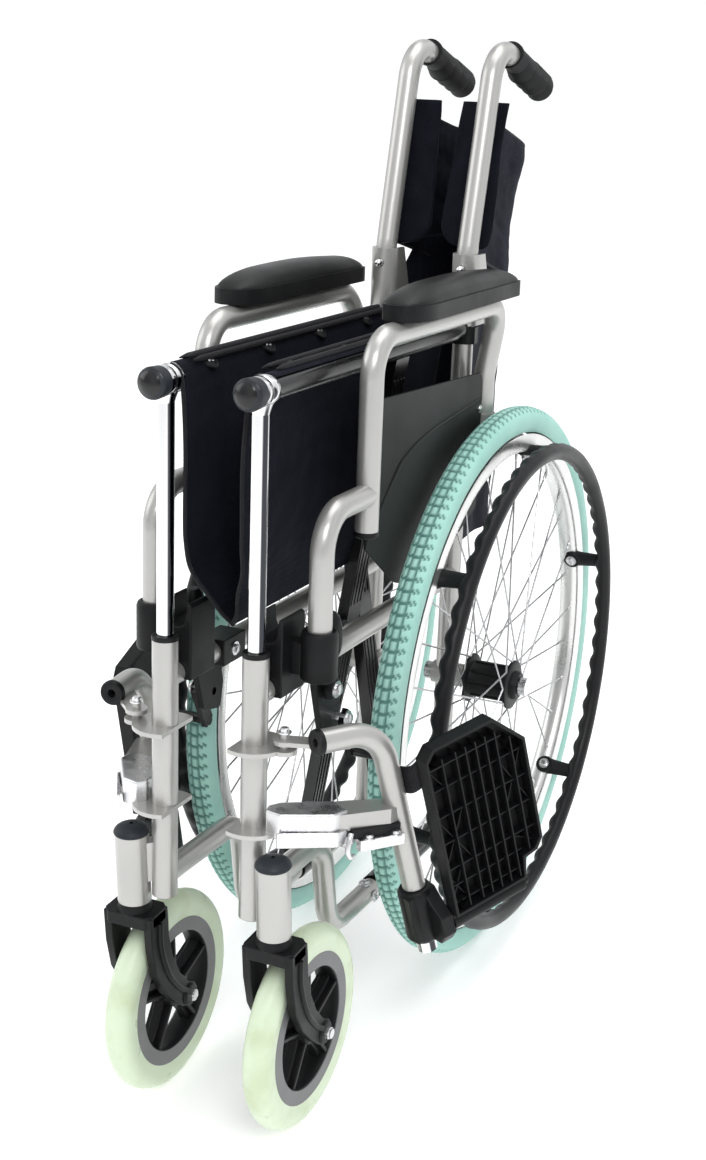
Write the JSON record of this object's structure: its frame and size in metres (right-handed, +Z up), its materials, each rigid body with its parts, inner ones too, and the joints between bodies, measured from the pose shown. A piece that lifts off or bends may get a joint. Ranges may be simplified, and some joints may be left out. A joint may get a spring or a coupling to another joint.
{
  "type": "folding wheelchair",
  "caption": "Folded self-propelled wheelchair: cross-braced steel tube frame, large spoked rear wheels with handrims, swivel casters, fold-back push handles and swing-away footrests.",
  "frame": {"origin": "on the floor under the middle of the folded chair's overall box", "axes": "+Z up, -Y towards the front, +X towards the sitter's left; +Y is the direction the push handles point"},
  "size_m": [0.4436, 0.816, 0.9664],
  "materials": {
    "frame_paint": "warm silver-grey satin paint",
    "chrome": "polished chrome",
    "zinc": "bright zinc-plated steel",
    "black_plastic": "moulded black, slight sheen",
    "black_paint": "black gloss paint",
    "handrim_black": "moulded black ring",
    "rim_alloy": "satin silver",
    "spoke_steel": "bright wire",
    "rear_tread": "solid mint-green tyre",
    "front_tread": "solid pale green-cream tyre",
    "grip_rubber": "matt black",
    "pad_vinyl": "black grained vinyl",
    "nylon": "black woven nylon",
    "guard_plastic": "dark olive-black sheet"
  },
  "bodies": {
    "left_frame": {"side_frame_left": "frame_paint", "frame_caps_left": "black_plastic", "saddle_left": "black_plastic", "axle_bolt_left": "zinc", "brake_bracket_left": "black_plastic"},
    "right_frame": {"side_frame_right": "frame_paint", "frame_caps_right": "black_plastic", "saddle_right": "black_plastic", "axle_bolt_right": "zinc", "brake_bracket_right": "black_plastic"},
    "cross_bar_left": {"cross_bar_left": "black_paint"},
    "left_seat_post": {"seat_post_left": "chrome"},
    "left_seat_half": {"seat_half_left": "nylon"},
    "left_back_post": {"back_cane_left": "frame_paint", "push_grip_left": "grip_rubber"},
    "left_back_half": {"back_half_left": "nylon"},
    "left_back_flap": {"back_flap_left": "nylon"},
    "left_snap_button": {"snap_button_left": "chrome"},
    "left_armrest": {"armrest_tube_left": "frame_paint", "arm_pad_left": "pad_vinyl", "side_panel_left": "guard_plastic"},
    "left_wheel": {"rear_tyre_left": "rear_tread", "rear_rim_left": "rim_alloy", "rear_spokes_left": "spoke_steel", "rear_hub_left": "black_plastic", "handrim_left": "handrim_black"},
    "left_caster_fork": {"caster_fork_left": "black_plastic"},
    "left_caster_wheel": {"caster_core_left": "black_plastic", "caster_tyre_left": "front_tread"},
    "left_brake_lever": {"brake_lever_left": "black_plastic"},
    "left_brake_shoe": {"brake_shoe_left": "black_paint"},
    "left_hanger": {"hanger_left": "frame_paint"},
    "left_latch": {"hanger_latch_left": "zinc"},
    "left_foot_tube": {"foot_tube_left": "chrome"},
    "left_footplate": {"footplate_left": "black_plastic"},
    "cross_bar_right": {"cross_bar_right": "black_paint"},
    "right_seat_post": {"seat_post_right": "chrome"},
    "right_seat_half": {"seat_half_right": "nylon"},
    "right_back_post": {"back_cane_right": "frame_paint", "push_grip_right": "grip_rubber"},
    "right_back_half": {"back_half_right": "nylon"},
    "right_back_flap": {"back_flap_right": "nylon"},
    "right_snap_button": {"snap_button_right": "chrome"},
    "right_armrest": {"armrest_tube_right": "frame_paint", "arm_pad_right": "pad_vinyl", "side_panel_right": "guard_plastic"},
    "right_wheel": {"rear_tyre_right": "rear_tread", "rear_rim_right": "rim_alloy", "rear_spokes_right": "spoke_steel", "rear_hub_right": "black_plastic", "handrim_right": "handrim_black"},
    "right_caster_fork": {"caster_fork_right": "black_plastic"},
    "right_caster_wheel": {"caster_core_right": "black_plastic", "caster_tyre_right": "front_tread"},
    "right_brake_lever": {"brake_lever_right": "black_plastic"},
    "right_brake_shoe": {"brake_shoe_right": "black_paint"},
    "right_hanger": {"hanger_right": "frame_paint"},
    "right_latch": {"hanger_latch_right": "zinc"},
    "right_foot_tube": {"foot_tube_right": "chrome"},
    "right_footplate": {"footplate_right": "black_plastic"}
  },
  "joints": [
    {"name": "fold", "type": "hinge", "parent": "left_frame", "child": "cross_bar_left", "pos_m": [0.00203, -0.0078, 0.12343], "axis": [0, -0.9976, 0.0698], "range_deg": [0, 42.61]},
    {"name": "cross_pivot", "type": "hinge", "parent": "cross_bar_left", "child": "cross_bar_right", "pos_m": [-0.04397, -0.03577, 0.41158], "axis": [0, -0.9976, 0.0698], "range_deg": [-85.42, 0.1]},
    {"name": "right_frame_pivot", "type": "hinge", "parent": "cross_bar_right", "child": "right_frame", "pos_m": [-0.08997, -0.0078, 0.12343], "axis": [0, -0.9976, 0.0698], "range_deg": [-0.1, 42.81]},
    {"name": "seat_post_hinge_left", "type": "hinge", "parent": "cross_bar_right", "child": "left_seat_post", "pos_m": [0.00203, -0.31512, 0.71732], "axis": [0, -0.9976, 0.0698], "range_deg": [-0.1, 42.81]},
    {"name": "seat_post_hinge_right", "type": "hinge", "parent": "cross_bar_left", "child": "right_seat_post", "pos_m": [-0.08997, -0.31512, 0.71732], "axis": [0, -0.9976, 0.0698], "range_deg": [-42.81, 0.1]},
    {"name": "seat_hinge_left", "type": "hinge", "parent": "cross_bar_right", "child": "left_seat_half", "pos_m": [0.00203, -0.09566, 0.70197], "axis": [0, -0.9976, 0.0698], "range_deg": [-39.02, 0.1]},
    {"name": "seat_hinge_right", "type": "hinge", "parent": "cross_bar_left", "child": "right_seat_half", "pos_m": [-0.08997, -0.09566, 0.70197], "axis": [0, -0.9976, 0.0698], "range_deg": [-0.1, 39.02]},
    {"name": "back_fold_left", "type": "hinge", "parent": "left_frame", "child": "left_back_post", "pos_m": [0.00203, 0.1552, 0.70548], "axis": [-1, 0, 0], "range_deg": [0, 95], "deforming": ["back_flap_left"]},
    {"name": "back_cloth_left", "type": "hinge", "parent": "left_back_post", "child": "left_back_half", "pos_m": [0.00203, 0.15567, 0.82273], "axis": [0, 0.299, 0.9542], "range_deg": [-0.1, 78.52]},
    {"name": "back_flap_hinge_left", "type": "hinge", "parent": "left_frame", "child": "left_back_flap", "pos_m": [0.00203, 0.12572, 0.59928], "axis": [0, 0.0698, 0.9976], "range_deg": [-0.1, 78.52]},
    {"name": "snap_press_left", "type": "slide", "parent": "left_frame", "child": "left_snap_button", "axis": [0, 0.9976, -0.0698], "range_m": [0, 0.003], "stiffness_N_per_m": 300, "springref_m": -0.003},
    {"name": "armrest_lift_left", "type": "slide", "parent": "left_frame", "child": "left_armrest", "axis": [0, 0.0698, 0.9976], "range_m": [0, 0.09]},
    {"name": "wheel_spin_left", "type": "hinge", "parent": "left_frame", "child": "left_wheel", "pos_m": [0.05703, 0.105, 0.303], "axis": [1, 0, 0], "continuous": true},
    {"name": "caster_swivel_left", "type": "hinge", "parent": "left_frame", "child": "left_caster_fork", "pos_m": [0.03003, -0.358, 0.227], "axis": [0, 0, 1], "range_deg": [-210, 30]},
    {"name": "caster_spin_left", "type": "hinge", "parent": "left_caster_fork", "child": "left_caster_wheel", "pos_m": [0.03003, -0.308, 0.1], "axis": [1, 0, 0], "continuous": true},
    {"name": "brake_lever_left", "type": "hinge", "parent": "left_frame", "child": "left_brake_lever", "pos_m": [0.02803, -0.23553, 0.42204], "axis": [-1, 0, 0], "range_deg": [0, 50]},
    {"name": "brake_shoe_left", "type": "hinge", "parent": "left_frame", "child": "left_brake_shoe", "pos_m": [0.03503, -0.22379, 0.38915], "axis": [1, 0, 0], "range_deg": [-0.1, 10.2]},
    {"name": "hanger_swing_left", "type": "hinge", "parent": "left_frame", "child": "left_hanger", "pos_m": [0.03203, -0.33998, 0.37622], "axis": [0, 0.0698, 0.9976], "range_deg": [-148, 25]},
    {"name": "latch_left", "type": "hinge", "parent": "left_hanger", "child": "left_latch", "pos_m": [0.08079, -0.31304, 0.3192], "axis": [0, 0.0698, 0.9976], "range_deg": [0, 25]},
    {"name": "foot_length_left", "type": "slide", "parent": "left_hanger", "child": "left_foot_tube", "axis": [0.1434, 0.1618, -0.9764], "range_m": [0, 0.07]},
    {"name": "footplate_flip_left", "type": "hinge", "parent": "left_foot_tube", "child": "left_footplate", "pos_m": [0.18464, -0.21888, 0.23011], "axis": [0.5101, 0.8333, 0.213], "range_deg": [0, 90]},
    {"name": "back_fold_right", "type": "hinge", "parent": "right_frame", "child": "right_back_post", "pos_m": [-0.08997, 0.1552, 0.70548], "axis": [-1, 0, 0], "range_deg": [0, 95], "deforming": ["back_flap_right"]},
    {"name": "back_cloth_right", "type": "hinge", "parent": "right_back_post", "child": "right_back_half", "pos_m": [-0.08997, 0.15567, 0.82273], "axis": [0, 0.299, 0.9542], "range_deg": [-78.52, 0.1]},
    {"name": "back_flap_hinge_right", "type": "hinge", "parent": "right_frame", "child": "right_back_flap", "pos_m": [-0.08997, 0.12572, 0.59928], "axis": [0, 0.0698, 0.9976], "range_deg": [-78.52, 0.1]},
    {"name": "snap_press_right", "type": "slide", "parent": "right_frame", "child": "right_snap_button", "axis": [0, 0.9976, -0.0698], "range_m": [0, 0.003], "stiffness_N_per_m": 300, "springref_m": -0.003},
    {"name": "armrest_lift_right", "type": "slide", "parent": "right_frame", "child": "right_armrest", "axis": [0, 0.0698, 0.9976], "range_m": [0, 0.09]},
    {"name": "wheel_spin_right", "type": "hinge", "parent": "right_frame", "child": "right_wheel", "pos_m": [-0.14497, 0.105, 0.303], "axis": [1, 0, 0], "continuous": true},
    {"name": "caster_swivel_right", "type": "hinge", "parent": "right_frame", "child": "right_caster_fork", "pos_m": [-0.11797, -0.358, 0.227], "axis": [0, 0, 1], "range_deg": [-30, 210]},
    {"name": "caster_spin_right", "type": "hinge", "parent": "right_caster_fork", "child": "right_caster_wheel", "pos_m": [-0.11797, -0.308, 0.1], "axis": [1, 0, 0], "continuous": true},
    {"name": "brake_lever_right", "type": "hinge", "parent": "right_frame", "child": "right_brake_lever", "pos_m": [-0.11597, -0.23553, 0.42204], "axis": [-1, 0, 0], "range_deg": [0, 50]},
    {"name": "brake_shoe_right", "type": "hinge", "parent": "right_frame", "child": "right_brake_shoe", "pos_m": [-0.12297, -0.22379, 0.38915], "axis": [1, 0, 0], "range_deg": [-0.1, 10.2]},
    {"name": "hanger_swing_right", "type": "hinge", "parent": "right_frame", "child": "right_hanger", "pos_m": [-0.11997, -0.33998, 0.37622], "axis": [0, -0.0698, -0.9976], "range_deg": [-173, 0]},
    {"name": "latch_right", "type": "hinge", "parent": "right_hanger", "child": "right_latch", "pos_m": [-0.15112, -0.29537, 0.31796], "axis": [0, -0.0698, -0.9976], "range_deg": [0, 25]},
    {"name": "foot_length_right", "type": "slide", "parent": "right_hanger", "child": "right_foot_tube", "axis": [-0.033, 0.2008, -0.9791], "range_m": [0, 0.07]},
    {"name": "footplate_flip_right", "type": "hinge", "parent": "right_foot_tube", "child": "right_footplate", "pos_m": [-0.20292, -0.16678, 0.22646], "axis": [0.1173, -0.9721, -0.2033], "range_deg": [0, 90]}
  ],
  "couplings": [
    {"joint": "cross_pivot", "follows": "fold", "ratio": -2},
    {"joint": "right_frame_pivot", "follows": "fold", "ratio": 1},
    {"joint": "seat_post_hinge_left", "follows": "fold", "ratio": 1},
    {"joint": "seat_post_hinge_right", "follows": "fold", "ratio": -1},
    {"joint": "seat_hinge_left", "follows": "fold", "ratio": -0.91105},
    {"joint": "seat_hinge_right", "follows": "fold", "ratio": 0.91105},
    {"joint": "back_cloth_left", "follows": "fold", "ratio": 1.8381},
    {"joint": "back_flap_hinge_left", "follows": "fold", "ratio": 1.8381},
    {"joint": "brake_shoe_left", "follows": "brake_lever_left", "ratio": 0.2},
    {"joint": "back_cloth_right", "follows": "fold", "ratio": -1.8381},
    {"joint": "back_flap_hinge_right", "follows": "fold", "ratio": -1.8381},
    {"joint": "brake_shoe_right", "follows": "brake_lever_right", "ratio": 0.2},
    {"joint": "back_fold_right", "follows": "back_fold_left", "ratio": 1}
  ]
}
